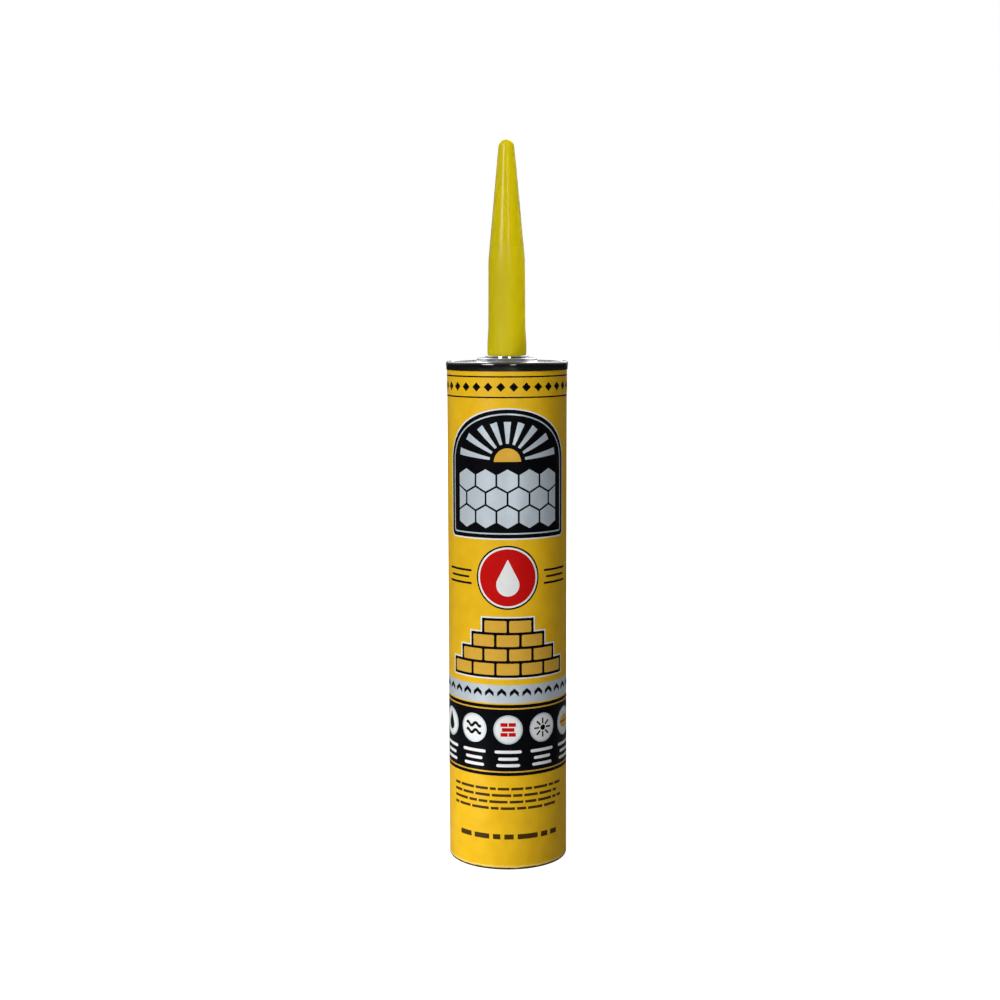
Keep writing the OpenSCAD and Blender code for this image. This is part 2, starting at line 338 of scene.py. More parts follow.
paper = Finish("label_paper", YELLOW, 0.42, Specular_IOR_Level=0.12)
height = paper.part("Z")
# Noise that makes the painted bands at the lower edge ragged
ragged_bands = paper.calc("ADD", paper.clouds(300, 4, (1, 1, 2)), -0.5)
edge = paper.calc("MULTIPLY_ADD", ragged_bands, 0.8 * MM, height)
tint = paper.mix(paper.between(paper.clouds(160, 5), 0.35, 0.72), YELLOW, ink(236, 184, 26))
# Painted highlight and worn paper: a pale band where the rounded lower edge catches light
worn_edge_highlight = paper.between(edge, 1.3 * MM, 2.0 * MM, 0.75, 0.0)
tint = paper.mix(worn_edge_highlight, tint, ink(252, 228, 130))
# Painted shade: a dark band at the label's very foot, for the contact shadow there
foot_shadow = paper.between(edge, 0.7 * MM, 1.1 * MM, 1.0, 0.0)
tint = paper.mix(foot_shadow, tint, ink(62, 46, 12))
paper.fit(paper.shader, {"Base Color": tint})
paper_relief(paper, 0.42)

bare_paper = Finish("paper_edge", ink(226, 216, 190), 0.8, Specular_IOR_Level=0.2)
pulp = bare_paper.clouds(2500, 3)
bare_paper.fit(bare_paper.shader, {"Base Color": bare_paper.mix(
    pulp, ink(206, 194, 164), ink(238, 230, 208))})

label_rows = rounded([
    (label_r - PAPER_T, label_foot, 0),
    (label_r, label_foot, PAPER_EDGE_R),
    (label_r, skirt_foot - CRIMP_LEAD, 0),
    (label_r - CRIMP_BITE, skirt_foot, 0),
    (crimped(label_r, label_top), label_top, 0),
    (crimped(label_r - PAPER_T, label_top), label_top, 0),
    (label_r - PAPER_T - CRIMP_BITE, skirt_foot, 0),
    (label_r - PAPER_T, skirt_foot - CRIMP_LEAD, 0),
])
label_angles = np.append(around(720), np.pi - LAP_CUT)


def lap_on_label(r, z, t):
    """The lap's rise, on both sides of the paper, as far up as the crimp that holds it
    down."""
    return lap_height(t * label_r) * (z < skirt_foot - CRIMP_LEAD / 3)


label = solid("label", [turned(label_rows, label_angles, lap_on_label)],
              [paper.material, bare_paper.material],
              lambda r, z: (z < label_foot + 0.01) | (r < label_r - PAPER_T / 2))
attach(label, "cartridge")
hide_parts("printed_label")

# Print on the label
# Six inks laid over each other: bands and an arched panel of black, with a gold sun over
# silver tiles, a red roundel, a piece of brickwork, round signs and short bars.

INK_STEP = 0.02           # how far each ink stands above the one below
INK_GAP = 0.004           # between an ink and what it lies on
COLUMN = 0.5              # widest step along the arc
THINNEST = 0.03
inks = {name: [] for name in ("black", "silver", "white", "red", "gold", "brown")}


def columns(start, end, step=COLUMN):
    """Arc lengths from start to end in equal steps of at most step."""
    return np.linspace(start, end, max(2, int(np.ceil((end - start) / step)) + 1))


def film(name, level, s, low, high):
    """Thin closed shell of ink on the label, from height low to high at each arc length s.
    Arc length turns into the angle s over the label's radius; level counts the inks
    below it, and sets the distance from the paper."""
    s, low, high = np.broadcast_arrays(np.asarray(s, float), low, high)
    middle = (low + high) / 2
    half = np.maximum((high - low) / 2, THINNEST / 2)
    inner = label_r + lap_height(s) + (level - 1) * INK_STEP + INK_GAP
    outer = label_r + lap_height(s) + level * INK_STEP
    r = np.stack([inner, inner, outer, outer], 1)
    z = np.stack([middle - half, middle + half, middle + half, middle - half], 1)
    t = (s / label_r)[:, None]
    points = np.stack([r * np.sin(t), -r * np.cos(t), z], -1).reshape(-1, 3)
    a = 4 * np.arange(len(s) - 1)[:, None]
    side = np.arange(4)[None, :]
    after = (side + 1) % 4
    walls = np.stack([a + side, a + after, a + 4 + after, a + 4 + side], -1).reshape(-1, 4)
    ends = np.array([[3, 2, 1, 0], 4 * (len(s) - 1) + np.arange(4)])
    inks[name].append((points, np.concatenate([walls, ends])))


def bar(name, level, start, end, low, high, corner=0.0):
    """Level bar with rounded ends: within corner of an end, both edges follow a quarter
    circle of that radius."""
    corner = min(corner, (high - low) / 2, (end - start) / 2)
    if corner <= 0:
        film(name, level, columns(start, end), low, high)
        return
    bow = corner * (1 - np.cos(np.linspace(0, np.pi / 2, 5)))
    s = np.concatenate([start + bow, columns(start + corner, end - corner)[1:-1],
                        (end - bow)[::-1]])
    into = np.clip(np.maximum(start + corner - s, s - end + corner), 0, corner)
    cut = corner - np.sqrt(corner ** 2 - into ** 2)
    film(name, level, s, low + cut, high - cut)


def disc(name, level, s0, z0, r):
    """Disc about (s0, z0): at each s the height of the circle above and below."""
    s = -r * np.cos(np.linspace(0, np.pi, max(9, int(np.pi * r / COLUMN) | 1)))
    rise = np.sqrt(np.maximum(r * r - s * s, 0))
    film(name, level, s0 + s, z0 - rise, z0 + rise)


def drop(name, level, s0, z0, r, tip):
    """Drop: a circle about (s0, z0) below, and above it the two lines from a tip that
    height up that touch the circle."""
    s = -r * np.cos(np.linspace(0, np.pi, 41))
    touch = r * np.sqrt(1 - (r / tip) ** 2)
    touch_rise = r * r / tip
    line = tip - np.abs(s) * (tip - touch_rise) / touch
    rise = np.sqrt(np.maximum(r * r - s * s, 0))
    top = np.where(np.abs(s) < touch, line, rise)
    film(name, level, s0 + s, z0 - rise, z0 + top)


def bead(name, level, s0, z0, reach_s, rise, wave, thick):
    """Bead laid in waves about (s0, z0): its middle is a sine of that rise and wavelength,
    its thickness is measured across the slope, and both ends are half circles."""
    s = columns(-reach_s, reach_s)
    turn = 2 * np.pi * s / wave
    slope = rise * 2 * np.pi / wave * np.cos(turn)
    over = np.clip((np.abs(s) - reach_s + thick / 2) / (thick / 2), 0, 1)
    half = thick / 2 * np.sqrt(1 + slope ** 2) * np.sqrt(1 - over ** 2)
    middle = z0 + rise * np.sin(turn)
    film(name, level, s0 + s, middle - half, middle + half)


def convex(name, level, corners):
    """Convex polygon: at each s the lowest and highest point of its sides, which are
    straight lines between neighbouring corners."""
    a = np.array(corners, float)
    b = np.roll(a, -1, axis=0)
    s = np.unique(np.concatenate([a[:, 0], columns(a[:, 0].min(), a[:, 0].max())]))
    run = np.where(np.abs(b[:, 0] - a[:, 0]) < 1e-9, 1e-9, b[:, 0] - a[:, 0])
    k = (s[:, None] - a[:, 0]) / run
    z = np.where((k > -1e-6) & (k < 1 + 1e-6), a[:, 1] + k * (b[:, 1] - a[:, 1]), np.nan)
    film(name, level, s, np.nanmin(z, axis=1), np.nanmax(z, axis=1))


def arch(name, level, half_w, foot, spring, rise, corner):
    """Panel with a flat foot and an elliptic top: spring plus rise times the root of one
    minus s over half_w squared; the foot's corners are quarter circles."""
    s = half_w * np.sin(np.linspace(-np.pi / 2, np.pi / 2, 121))
    top = spring + rise * np.sqrt(np.maximum(1 - (s / half_w) ** 2, 0))
    into = np.clip(np.abs(s) - half_w + corner, 0, corner)
    low = foot + corner - np.sqrt(corner ** 2 - into ** 2)
    film(name, level, s, low, top)


# Head: two rules and a row of small lozenges, all the way round
WRAP = half_girth - 0.28  # stops short of the lap's cut edge
RULE_H = 0.6
MOTIFS = 30               # in each row that goes all the way round
MOTIF_W = 1.9             # from a motif's middle to its side
motif_s = (np.arange(MOTIFS) - (MOTIFS - 1) / 2) * 2 * half_girth / MOTIFS
for rule_z in (198.6, 207.0):
    bar("black", 1, -WRAP, WRAP, rule_z, rule_z + RULE_H)
LOZENGE_Z = 203.1
for s0 in motif_s:
    convex("black", 1, [(s0 - MOTIF_W, LOZENGE_Z), (s0, LOZENGE_Z - MOTIF_W),
                        (s0 + MOTIF_W, LOZENGE_Z), (s0, LOZENGE_Z + MOTIF_W)])

# Arched panel: a sunburst over three courses of six-sided tiles
PANEL_W = 28.0            # half of the panel's width
PANEL_FOOT = 141.0
PANEL_SPRING = 172.0
PANEL_RISE = 22.0
borders = [("white", -0.6, 2.6), ("black", 0.0, 2.0), ("silver", 1.6, 1.2), ("black", 2.2, 0.8)]
for level, (name, margin, corner) in enumerate(borders, 1):
    arch(name, level, PANEL_W - margin, PANEL_FOOT + margin, PANEL_SPRING,
         PANEL_RISE - margin, corner)
SUN_R = 5.6
SUN_Z = 172.6
RAYS = 9
RAY_START = 7.4           # from the sun's middle
RAY_SPAN = (22.6, 16.4)   # half axes of the ellipse at which the rays end
half_disc = -SUN_R * np.cos(np.linspace(0, np.pi, 37))
sun_rise = np.sqrt(np.maximum(SUN_R ** 2 - half_disc ** 2, 0))
film("gold", 5, half_disc, SUN_Z, SUN_Z + sun_rise)
for k in range(RAYS):
    turn = np.pi * (k + 0.5) / RAYS
    along = np.array([np.cos(turn), np.sin(turn)])
    across = np.array([-along[1], along[0]])
    start = np.array([0, SUN_Z]) + along * RAY_START
    end = np.array([0, SUN_Z]) + along / np.linalg.norm(along / RAY_SPAN)
    convex("silver", 5, [start + across * 0.55, start - across * 0.55,
                         end - across * 1.5, end + across * 1.5])
TILE_PITCH = 9.2
TILE_GAP = 0.8
TILE_H = 9.2
TILE_SIDE = 4.6           # height of a tile's upright sides
FIELD_W = 2.5 * TILE_PITCH - TILE_GAP / 2
for row, z0 in enumerate((164.9, 157.3, 149.7)):
    first = -2 - 0.5 * (row % 2)
    for k in range(5 + row % 2):
        s0 = (first + k) * TILE_PITCH
        half_w = TILE_PITCH / 2 - TILE_GAP / 2
        left = max(s0 - half_w, -FIELD_W)
        right = min(s0 + half_w, FIELD_W)
        middle = min(max(s0, left), right)
        convex("silver", 5, [(left, z0 - TILE_SIDE / 2), (middle, z0 - TILE_H / 2),
                             (right, z0 - TILE_SIDE / 2), (right, z0 + TILE_SIDE / 2),
                             (middle, z0 + TILE_H / 2), (left, z0 + TILE_SIDE / 2)])

# Roundel with a drop, between two pairs of rules
ROUNDEL_Z = 124.6
disc("black", 1, 0, ROUNDEL_Z, 13.4)
disc("white", 2, 0, ROUNDEL_Z, 12.7)
disc("red", 3, 0, ROUNDEL_Z, 11.9)
drop("white", 4, 0, ROUNDEL_Z - 3.0, 4.8, 10.6)
for side in (-1, 1):
    for rule_z, inner_s in ((127.0, 16.0), (124.3, 17.2), (121.6, 16.0)):
        ends = sorted((side * inner_s, side * (30.5 - (inner_s - 16.0))))
        bar("black", 1, *ends, rule_z - 0.45, rule_z + 0.45, 0.45)

# Brickwork: four courses in running bond with stepped ends, on one stepped ground
BRICK_W = 9.4
BRICK_H = 4.9
JOINT = 1.1
courses = [(-2.5, 83.6, 5), (-2, 89.6, 4), (-1.5, 95.6, 3), (-1, 101.6, 2)]


def stepped(name, level, margin):
    """Ground of the brickwork: at each s it reaches from margin below the lowest course
    to margin above the highest course that spans s, with upright steps."""
    pitch = BRICK_W + JOINT
    spans = np.array([(first * pitch + JOINT / 2 - margin, (first + count) * pitch
                       - JOINT / 2 + margin, z + BRICK_H + margin)
                      for first, z, count in courses])
    steps = np.unique(spans[:, :2])
    s = np.sort(np.concatenate([columns(steps[0], steps[-1]), steps[1:-1] - 0.01,
                                steps[1:-1] + 0.01]))
    inside = (s[:, None] > spans[:, 0] - 1e-6) & (s[:, None] < spans[:, 1] + 1e-6)
    top = np.where(inside, spans[:, 2], -np.inf).max(axis=1)
    film(name, level, s, courses[0][1] - margin, top)


stepped("white", 1, 1.7)
stepped("black", 2, 1.1)
for first, z0, count in courses:
    for k in range(count):
        s0 = (first + k) * (BRICK_W + JOINT) + JOINT / 2
        bar("gold", 3, s0, s0 + BRICK_W, z0, z0 + BRICK_H, 0.5)

# Silver band with chevrons, above a black band with signs and their short captions
bar("silver", 1, -WRAP, WRAP, 71.6, 79.4)
CHEVRON_Z = 76.2
CHEVRON_H = 1.8
for s0 in motif_s:
    s = columns(s0 - MOTIF_W, s0 + MOTIF_W)
    fall = np.abs(s - s0) * 0.9
    film("black", 2, s, CHEVRON_Z - fall, CHEVRON_Z + CHEVRON_H - fall)
bar("black", 1, -WRAP, WRAP, 40.6, 71.0)
for rule_z in (42.0, 69.0):
    bar("gold", 2, -WRAP, WRAP, rule_z, rule_z + RULE_H)
SIGN_R = 6.2
SIGN_Z = 60.4
SIGN_PITCH = 15.4
for s0 in SIGN_PITCH * np.arange(-2, 3):
    disc("silver", 2, s0, SIGN_Z, SIGN_R)
    disc("white", 3, s0, SIGN_Z, SIGN_R - 0.7)
    for row, width in ((50.2, 11.5), (47.2, 8.5), (44.4, 10.0)):
        bar("white", 2, s0 - width / 2, s0 + width / 2, row, row + 1.3, 0.65)

# The signs, from left to right: a drop, two beads, bricks, a small sun whose crossing rays
# each lie a step above the last, and a leaf
drop("black", 4, -2 * SIGN_PITCH, SIGN_Z - 1.1, 2.5, 5.8)
for row in (-1.5, 1.5):
    bead("black", 4, -SIGN_PITCH, SIGN_Z + row, 3.9, 0.7, 4.2, 1.2)
bar("red", 4, -2.6, 2.6, SIGN_Z - 0.8, SIGN_Z + 0.8)
for row in (-2.9, 1.3):
    for s0 in (-3.2, 0.2):
        bar("red", 4, s0, s0 + 3.0, SIGN_Z + row, SIGN_Z + row + 1.6)
for k in range(4):
    turn = k * np.pi / 4
    along = np.array([np.cos(turn), np.sin(turn)]) * 4.1
    across = np.array([-np.sin(turn), np.cos(turn)]) * 0.36
    centre = np.array([SIGN_PITCH, SIGN_Z])
    convex("black", 4 + k, [centre + along + across, centre - along + across,
                            centre - along - across, centre + along - across])
disc("white", 8, SIGN_PITCH, SIGN_Z, 1.7)
disc("black", 9, SIGN_PITCH, SIGN_Z, 1.2)
LEAF_W = 4.3              # half of the leaf's length
LEAF_R = np.hypot(4.4, 1.5)
leaf = columns(-LEAF_W, LEAF_W, 0.2)
belly = np.sqrt(LEAF_R ** 2 - leaf ** 2) - np.sqrt(LEAF_R ** 2 - LEAF_W ** 2)
film("gold", 4, 2 * SIGN_PITCH + leaf, SIGN_Z - belly, SIGN_Z + belly)
bar("black", 5, 2 * SIGN_PITCH - 3.9, 2 * SIGN_PITCH + 3.8, SIGN_Z - 0.2, SIGN_Z + 0.2)


def lines(name, level, start, end, heights, size, seed, shortest=2.0, longest=8.5):
    """Rows of short bars in place of small print: their lengths come from a seeded draw,
    with a gap of three quarters of their height between them."""
    draw = np.random.default_rng(seed)
    for z0 in heights:
        s0 = start
        last = end - draw.uniform(0, 0.12) * (end - start)
        while s0 + shortest < last:
            s1 = min(s0 + draw.uniform(shortest, longest), last)
            bar(name, level, s0, s1, z0, z0 + size)
            s0 = s1 + size * 0.75


# Small print on the front foot, and two columns of it on the back
lines("brown", 1, -27, 27, (34.4, 31.6, 28.8, 26.0), 1.15, 3)
lines("brown", 1, -23, 25, (13.2,), 2.2, 11, 3.0, 9.5)
for start, seed in ((42.0, 21), (-70.0, 34)):
    bar("black", 1, start, start + 27, 190.6, 194.0)
    lines("brown", 1, start, start + 27, np.arange(186.4, 84.0, -2.9), 1.2, seed)

PRINTED = {
    "black": (ink(8, 9, 13), 0.4, 0.03, 0.0),
    "silver": (ink(208, 219, 228), 0.36, 0.3, 0.3),
    "white": (ink(238, 240, 240), 0.42, 0.2, 0.0),
    "red": (ink(200, 12, 9), 0.4, 0.08, 0.0),
    "gold": (ink(228, 178, 62), 0.38, 0.2, 0.15),
    "brown": (ink(70, 50, 10), 0.45, 0.1, 0.0),
}
for name, (colour, rough, specular, metal) in PRINTED.items():
    finish = Finish("ink_" + name, colour, rough, Specular_IOR_Level=specular, Metallic=metal)
    thin = tuple(min(1.0, 0.001 + 1.05 * c) for c in colour[:3]) + (1.0,)
    finish.fit(finish.shader, {"Base Color": finish.mix(
        finish.between(finish.clouds(240, 5), 0.4, 0.75), colour, thin)})
    paper_relief(finish, rough)
    layer = solid("print_" + name, inks[name], [finish.material])
    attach(layer, "cartridge")

# Nozzle
# One moulding of soft yellow polyethylene, closed at the tip until it is cut. It has a
# flange and a hub that sit under the metal end, and a fine line where the mould parts.

flange_r, flange_foot, nozzle_top = reach("nozzle")
FLANGE_T = 1.3
FLANGE_EDGE_R = 0.3
HUB_R = 8.75
HUB_TOP = 215.0
HUB_EDGE_R = 0.2
FOOT_R = 8.15
FOOT_TOP = 220.65
SHANK_FOOT = 227.05
SHANK_FOOT_R = 7.75
FLARE_BEND_R = 6.4
SHOULDER = 255.0
SHOULDER_R = 7.6
SHOULDER_BEND_R = 20.0
TIP_R = 3.05
TIP_T = 1.8
NOZZLE_WALL = 1.35
BORE_LEAD = 0.5
PART_LINE_H = 0.05
PART_LINE_W = 0.11
PART_LINE_FOOT = HUB_TOP + 1.5


def divided(path, step):
    """The path with each of its straight runs cut into equal parts of at most step."""
    runs = []
    for a, b in zip(path[:-1], path[1:]):
        count = int(np.ceil(np.linalg.norm(b - a) / step))
        runs.append(a + (b - a) * np.linspace(0, 1, count, endpoint=False)[:, None])
    return np.concatenate(runs + [path[-1:]])


outside = rounded([
    (flange_r, flange_foot, FLANGE_EDGE_R),
    (flange_r, flange_foot + FLANGE_T, FLANGE_EDGE_R),
    (HUB_R, flange_foot + FLANGE_T, 0),
    (HUB_R, HUB_TOP, HUB_EDGE_R),
    (FOOT_R, HUB_TOP, 0),
    (FOOT_R, FOOT_TOP, FLARE_BEND_R),
    (SHANK_FOOT_R, SHANK_FOOT, FLARE_BEND_R),
    (SHOULDER_R, SHOULDER, SHOULDER_BEND_R),
    (TIP_R, nozzle_top, TIP_R),
    (0, nozzle_top, 0),
    (0, flange_foot, 0),
], 0.05)
inside = rounded([
    (0, flange_foot, 0),
    (FOOT_R - NOZZLE_WALL + BORE_LEAD, flange_foot, 0),
    (FOOT_R - NOZZLE_WALL, flange_foot + BORE_LEAD, 0),
    (FOOT_R - NOZZLE_WALL, FOOT_TOP, FLARE_BEND_R),
    (SHANK_FOOT_R - NOZZLE_WALL, SHANK_FOOT, FLARE_BEND_R),
    (SHOULDER_R - NOZZLE_WALL, SHOULDER, SHOULDER_BEND_R),
    (TIP_R - NOZZLE_WALL, nozzle_top - TIP_T, TIP_R - NOZZLE_WALL),
    (0, nozzle_top - TIP_T, 0),
], 0.1)

# From the inner pole down the bore, round the flange and up to the outer pole. The middle
# of the flange's foot only shapes the corners next to it, so it is left out of both walls.
outer_wall = divided(outside[:-1], 3)
inner_wall = inside[1:][::-1]
nozzle_outline = np.concatenate([inner_wall, outer_wall])


def part_line(r, z, t):
    """Ridge where the mould's halves meet, at both sides: a bell PART_LINE_H high and
    PART_LINE_W wide, on the outside only, from the collar up. It fades from 4 mm to 1 mm
    under the tip."""
    off = np.abs(np.abs(t) - np.pi / 2) * r / PART_LINE_W
    fade = np.clip((nozzle_top - z - 1.0) / 3, 0, 1)
    bore = np.interp(z, inner_wall[::-1, 1], inner_wall[::-1, 0])
    outer = (z > PART_LINE_FOOT) & (r > bore + NOZZLE_WALL / 2)
    return PART_LINE_H * np.exp(-off ** 2) * fade * outer


near = np.linspace(-0.045, 0.045, 19)
nozzle_angles = np.sort(np.concatenate([around(192), np.pi / 2 + near, -np.pi / 2 + near]))
nozzle_angles = nozzle_angles[np.append(True, np.diff(nozzle_angles) > 1e-4)]

poly = Finish("nozzle_plastic", ink(214, 194, 4), 0.3, Specular_IOR_Level=0.2,
              Subsurface_Weight=1.0, Subsurface_Scale=0.004)
poly.fit(poly.shader, {"Subsurface Radius": (1.0, 0.88, 0.1)})
flow = poly.clouds(38, 3, (1, 1, 0.25))
smooth = poly.between(poly.part("Z"), (SHOULDER - 16) * MM, (SHOULDER + 20) * MM)
poly.fit(poly.shader, {
    "Base Color": poly.mix(poly.between(flow, 0.35, 0.7), ink(216, 196, 4),
                           ink(207, 187, 3)),
    "Roughness": poly.calc("MULTIPLY_ADD", poly.clouds(220, 3, (1, 1, 0.4)), 0.08,
                           poly.between(smooth, 0.0, 1.0, 0.48, 0.14)),
})
poly.relief(poly.clouds(1200, 2), 0.000006, poly.relief(poly.clouds(90, 2), 0.00004))

nozzle = solid("nozzle_moulding", [turned(nozzle_outline, nozzle_angles, part_line)],
               [poly.material])
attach(nozzle, "cartridge")
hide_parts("nozzle")

# Foil membrane
# Aluminium foil sealed under the nozzle's flange, which keeps the filling from curing. It
# is pressed on hot, so it has a fine grain and a few soft wrinkles.

foil = Finish("sealing_foil", ink(206, 208, 212), 0.28, Metallic=1.0)
creases = foil.clouds(260, 6, rough=0.7)
foil.fit(foil.shader, {"Roughness": foil.between(creases, 0.3, 0.7, 0.22, 0.4)})
foil.relief(creases, 0.0003)
for slot in nodes["foil_membrane"].material_slots:
    slot.material = foil.material

# Metal end
# Tinplate pressed in one piece: the skirt is crimped on the tube, the sheet turns over the
# rim and down into a groove, and the panel rises to a boss and the nozzle's collar. The
# rim is lacquered black, the panel is bright.

SEAT_GAP = 0.05           # between the sheet and what it lies against
SKIRT_FLARE = 0.25
CROWN_R = 0.75            # bends that round the rim's crown
GROOVE_Z = 211.0
PANEL_EDGE_R = 22.25
PANEL_LEAN = 0.3
PANEL_DROP = 0.35         # from the rim to the panel's edge
PANEL_CLIMB = 0.5         # from the panel's edge to the boss
PANEL_BEND_R = 0.4
BOSS_R = 12.3
BOSS_LEAN = 0.55
BOSS_Z = 214.2
COLLAR_R = 8.95
COLLAR_Z = 215.2
COLLAR_BEND_R = 0.35
LACQUER_TO_R = 23.3
LACQUER = ink(10, 10, 11)


def sheet(path, t):
    """Closed outline of a sheet of thickness t whose middle follows the path: each point
    moves half of t to both sides, along the mitre of its two neighbouring steps."""
    step = np.diff(path, axis=0)
    normal = np.stack([-step[:, 1], step[:, 0]], 1) / np.linalg.norm(step, axis=1)[:, None]
    both = np.concatenate([normal[:1], normal]) + np.concatenate([normal, normal[-1:]])
    mitre = both * 2 / (both ** 2).sum(axis=1)[:, None] * t / 2
    return np.concatenate([path + mitre, (path - mitre)[::-1]])


skirt_foot_r = label_r - CRIMP_BITE + SEAT_GAP + SHEET_T / 2
chuck_r = bore_r - SEAT_GAP - SHEET_T / 2
panel_z = rim_mid - PANEL_DROP
sheet_middle = rounded([
    (skirt_foot_r, skirt_foot, 0),
    (skirt_foot_r + SKIRT_FLARE, rim_mid, CROWN_R),
    (chuck_r, rim_mid, CROWN_R),
    (chuck_r, GROOVE_Z, PANEL_BEND_R),
    (PANEL_EDGE_R, GROOVE_Z, PANEL_BEND_R),
    (PANEL_EDGE_R - PANEL_LEAN, panel_z, PANEL_BEND_R),
    (BOSS_R + BOSS_LEAN, panel_z + PANEL_CLIMB, PANEL_BEND_R),
    (BOSS_R, BOSS_Z, PANEL_BEND_R),
    (COLLAR_R, BOSS_Z, COLLAR_BEND_R),
    (COLLAR_R, COLLAR_Z, COLLAR_BEND_R),
    (FOOT_R + SEAT_GAP, COLLAR_Z, 0),
], 0.12)

tin = Finish("tinplate", ink(214, 216, 222), 0.2, Metallic=1.0)
rolled = tin.clouds(900, 4, (0.04, 1, 1))
mottle = tin.clouds(120, 4)
tin.fit(tin.shader, {
    "Base Color": tin.mix(tin.between(mottle, 0.4, 0.75), ink(214, 216, 222),
                          ink(188, 191, 198)),
    "Roughness": tin.between(rolled, 0.3, 0.7, 0.07, 0.15),
})
tin.relief(rolled, 0.000008, tin.relief(tin.clouds(70, 2), 0.0003))

lacquer = Finish("black_lacquer", LACQUER, 0.1, Specular_IOR_Level=1.0)
rub = lacquer.clouds(420, 5, (1, 1, 3))
crown = lacquer.between(lacquer.part("Z"), (rim_top - 0.1) * MM, rim_top * MM)
bright = lacquer.calc("MULTIPLY", crown, lacquer.between(rub, 0.52, 0.66))
lacquer.fit(lacquer.shader, {
    "Base Color": lacquer.mix(lacquer.calc("MULTIPLY", bright, 0.3), LACQUER,
                              ink(150, 152, 156)),
    "Roughness": lacquer.between(rub, 0.35, 0.7, 0.06, 0.14),
})
lacquer.relief(lacquer.clouds(60, 2), 0.0002)

metal = solid("pressed_end", [turned(sheet(sheet_middle, SHEET_T), around(360))],
              [tin.material, lacquer.material], lambda r, z: r > LACQUER_TO_R)
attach(metal, "cartridge")
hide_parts("metal_end")

# Filling
# Cream adhesive paste, pumped in from the open end. It takes the form of the tube, the
# metal end and the plunger's dome, and leaves through the nozzle as the plunger rises.

fill_r, _, fill_top = reach("adhesive_fill")
PLUNGER_CROWN = 36.0      # height of the plunger's shoulder, round its dome
FILL_GAP = 0.3
FILL_CAP_R = 21.65        # where the filling rises inside the groove
FILL_CAP_FOOT = GROOVE_Z - FILL_GAP - SHEET_T / 2
DOME_RISE = 3.6
DOME_R = 21.7


def dome(edge, foot, rise):
    """Points of a shallow dome from its middle out to radius edge at height foot: the cap,
    that rise high, of the ball of radius (edge squared + rise squared) over 2 rise."""
    ball = (edge ** 2 + rise ** 2) / (2 * rise)
    r = np.linspace(0, edge, 25)
    return np.stack([r, foot + rise - ball + np.sqrt(ball ** 2 - r ** 2)], 1)


paste = Finish("adhesive_paste", ink(232, 224, 198), 0.5, Specular_IOR_Level=0.4,
               Subsurface_Weight=0.15, Subsurface_Scale=0.002)
folds = paste.clouds(240, 4)
paste.fit(paste.shader, {"Base Color": paste.mix(folds, ink(236, 229, 206),
                                                 ink(222, 212, 182))})
paste.relief(folds, 0.0004)
fill_floor = dome(DOME_R, PLUNGER_CROWN + FILL_GAP, DOME_RISE)
fill_walls = np.array([
    (fill_r, PLUNGER_CROWN + FILL_GAP),
    (fill_r, FILL_CAP_FOOT),
    (FILL_CAP_R, FILL_CAP_FOOT),
    (FILL_CAP_R, fill_top),
    (0, fill_top),
])
filling = solid("filling", [turned(np.concatenate([fill_floor, fill_walls]), around(144))],
                [paste.material])
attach(filling, "cartridge")
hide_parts("adhesive_fill")
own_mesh(filling)

# Plunger
# Natural polyethylene cup, pushed in behind the filling. Two lips wipe the bore, the dome
# meets the filling, and ribs inside the cup take the push of the gun's plate.

milky = Finish("plunger_plastic", ink(238, 238, 232), 0.4, Specular_IOR_Level=0.4,
               Subsurface_Weight=0.3, Subsurface_Scale=0.002)
haze = milky.clouds(130, 4)
milky.fit(milky.shader, {
    "Base Color": milky.mix(haze, ink(241, 241, 236), ink(228, 229, 222)),
    "Roughness": milky.between(haze, 0.35, 0.7, 0.34, 0.46),
})
milky.relief(milky.clouds(1500, 2), 0.00002)
for slot in nodes["plunger"].material_slots:
    slot.material = milky.material

# Studio
# White floor that keeps a faint shadow, and a white surround that is dim to what shines
# low down and behind the camera. Soft lamps: one high and one low at the left, one beside
# the camera, one behind, and a faint one for the nozzle. The camera stands as in the photo.

FLOOR_R = 4.0
FLOOR_SIDES = 96
SHADOW_SHARE = 0.5        # of the floor's look under the part, which fades outwards
ROOM_LIGHT = 0.04         # of the white surround on what isn't shiny
DIM_SIDE = 0.2            # of the surround low down and behind the camera, in gloss


def joined(tree, kind, sockets, out=0, **settings):
    """One node in a studio material or the world, set or joined as in a finish."""
    node = tree.nodes.new("ShaderNode" + kind)
    for key, value in settings.items():
        setattr(node, key, value)
    for key, value in sockets.items():
        if isinstance(value, bpy.types.NodeSocket):
            tree.links.new(value, node.inputs[key])
        else:
            node.inputs[key].default_value = value
    return node.outputs[out]


# The camera sees a glowing floor that turns in part plain near the cartridge, where its
# shadow falls. All other rays meet a plain grey one.
floor_mesh = bpy.data.meshes.new("floor")
turn = around(FLOOR_SIDES)
floor_edge = np.stack([FLOOR_R * np.sin(turn), -FLOOR_R * np.cos(turn), 0 * turn], 1)
floor_mesh.from_pydata(floor_edge.tolist(), [], [list(range(FLOOR_SIDES))])
floor = bpy.data.objects.new("floor", floor_mesh)
bpy.context.scene.collection.objects.link(floor)
white_floor = bpy.data.materials.new("white_floor")
white_floor.use_nodes = True
tree = white_floor.node_tree
tree.nodes.clear()
place = joined(tree, "TexCoord", {}, out="Object")
far = joined(tree, "VectorMath", {0: place}, out="Value", operation="LENGTH")
near_share = joined(tree, "MapRange", {"Value": far, "From Min": 0.1, "From Max": 0.6,
                                       "To Min": SHADOW_SHARE, "To Max": 0.0})
plain = joined(tree, "BsdfDiffuse", {"Color": (0.8, 0.8, 0.8, 1)})
bounce = joined(tree, "BsdfDiffuse", {"Color": (0.4, 0.4, 0.4, 1)})
glow = joined(tree, "Emission", {"Color": (1, 1, 1, 1), "Strength": 1.85})
seen = joined(tree, "MixShader", {0: near_share, 1: glow, 2: plain})
to_camera = joined(tree, "LightPath", {}, out="Is Camera Ray")
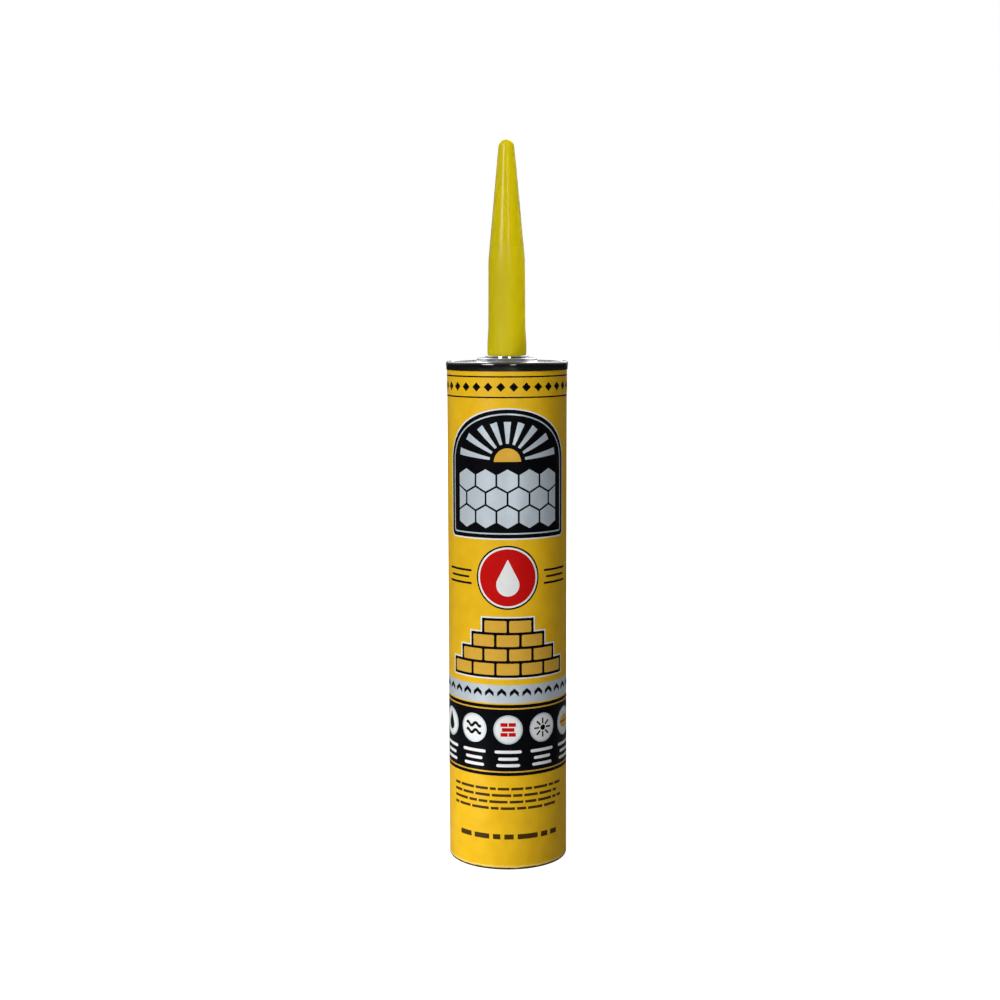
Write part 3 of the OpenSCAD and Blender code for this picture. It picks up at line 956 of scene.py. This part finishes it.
shown = joined(tree, "MixShader", {0: to_camera, 1: bounce, 2: seen})
output = tree.nodes.new("ShaderNodeOutputMaterial")
tree.links.new(shown, output.inputs["Surface"])
floor_mesh.materials.append(white_floor)

# The surround is white to the camera, faint on what is dull, and as bright in gloss as its
# share of the back wall and of the height above the floor says
world = bpy.data.worlds.new("surround")
bpy.context.scene.world = world
world.use_nodes = True
tree = world.node_tree
rays = tree.nodes.new("ShaderNodeLightPath")
way = joined(tree, "TexCoord", {}, out="Generated")
toward_back = joined(tree, "SeparateXYZ", {0: way}, out="Y")
wall = joined(tree, "MapRange", {"Value": toward_back, "From Min": -0.1, "From Max": 0.3,
                                 "To Min": DIM_SIDE, "To Max": 1.0})
above = joined(tree, "MapRange", {"Value": toward_back.node.outputs["Z"], "From Min": 0.05,
                                  "From Max": 0.5, "To Min": DIM_SIDE, "To Max": 1.0})
wall = joined(tree, "Math", {0: wall, 1: above}, operation="MULTIPLY")
shiny = joined(tree, "Math", {0: rays.outputs["Is Glossy Ray"],
                              1: rays.outputs["Is Transmission Ray"]}, operation="MAXIMUM")
level = joined(tree, "Mix", {0: shiny, 2: ROOM_LIGHT, 3: wall}, data_type="FLOAT")
level = joined(tree, "Math", {0: level, 1: rays.outputs["Is Camera Ray"]},
               operation="MAXIMUM")
backing = tree.nodes["Background"]
backing.inputs["Color"].default_value = (1, 1, 1, 1)
tree.links.new(level, backing.inputs["Strength"])


def lamp(name, place, target, width, height, power, spread=180, gleams=True):
    """Rectangular area lamp of that size in metres and power in watts, turned to a
    target. Its light stays within the spread in degrees, and shows in gloss if it
    gleams."""
    light = bpy.data.lights.new(name, "AREA")
    light.shape = "RECTANGLE"
    light.size = width
    light.size_y = height
    light.energy = power
    light.spread = np.radians(spread)
    piece = bpy.data.objects.new(name, light)
    piece.visible_camera = False
    piece.visible_glossy = gleams
    piece.location = place
    piece.rotation_euler = (Vector(target) - Vector(place)).to_track_quat("-Z", "Y").to_euler()
    bpy.context.scene.collection.objects.link(piece)


lamp("key", (-0.721, -0.89, 0.72), (0, 0, 0.2), 0.4, 0.75, 10.7)
lamp("low_key", (-0.0894, -0.0674, 0.012), (0, 0, 0.01), 0.05, 0.02, 0.033)
lamp("fill", (0.25, -1.18, 0.48), (0, 0, 0.15), 0.22, 0.75, 3.3)
lamp("back", (0.1, 1.1, 0.8), (0, 0, 0.12), 0.9, 0.8, 8.0)
lamp("nozzle_side", (0.29, -0.105, 0.406), (0, 0, 0.262), 0.07, 0.083, 0.0102, 4, False)

camera = bpy.data.objects.new("camera", bpy.data.cameras.new("camera"))
camera.data.lens = 57.7
camera.data.sensor_width = 36.0
camera.data.clip_start = 0.02
tilt = Matrix.Rotation(np.radians(90 - 6.69), 3, "X")
roll = Matrix.Rotation(np.radians(-0.17), 3, "Z")
camera.rotation_euler = (tilt @ roll).to_euler()
camera.location = (-0.0031, -0.6779, 0.2335)
bpy.context.scene.collection.objects.link(camera)
bpy.context.scene.camera = camera
bpy.context.scene.view_settings.view_transform = "Standard"
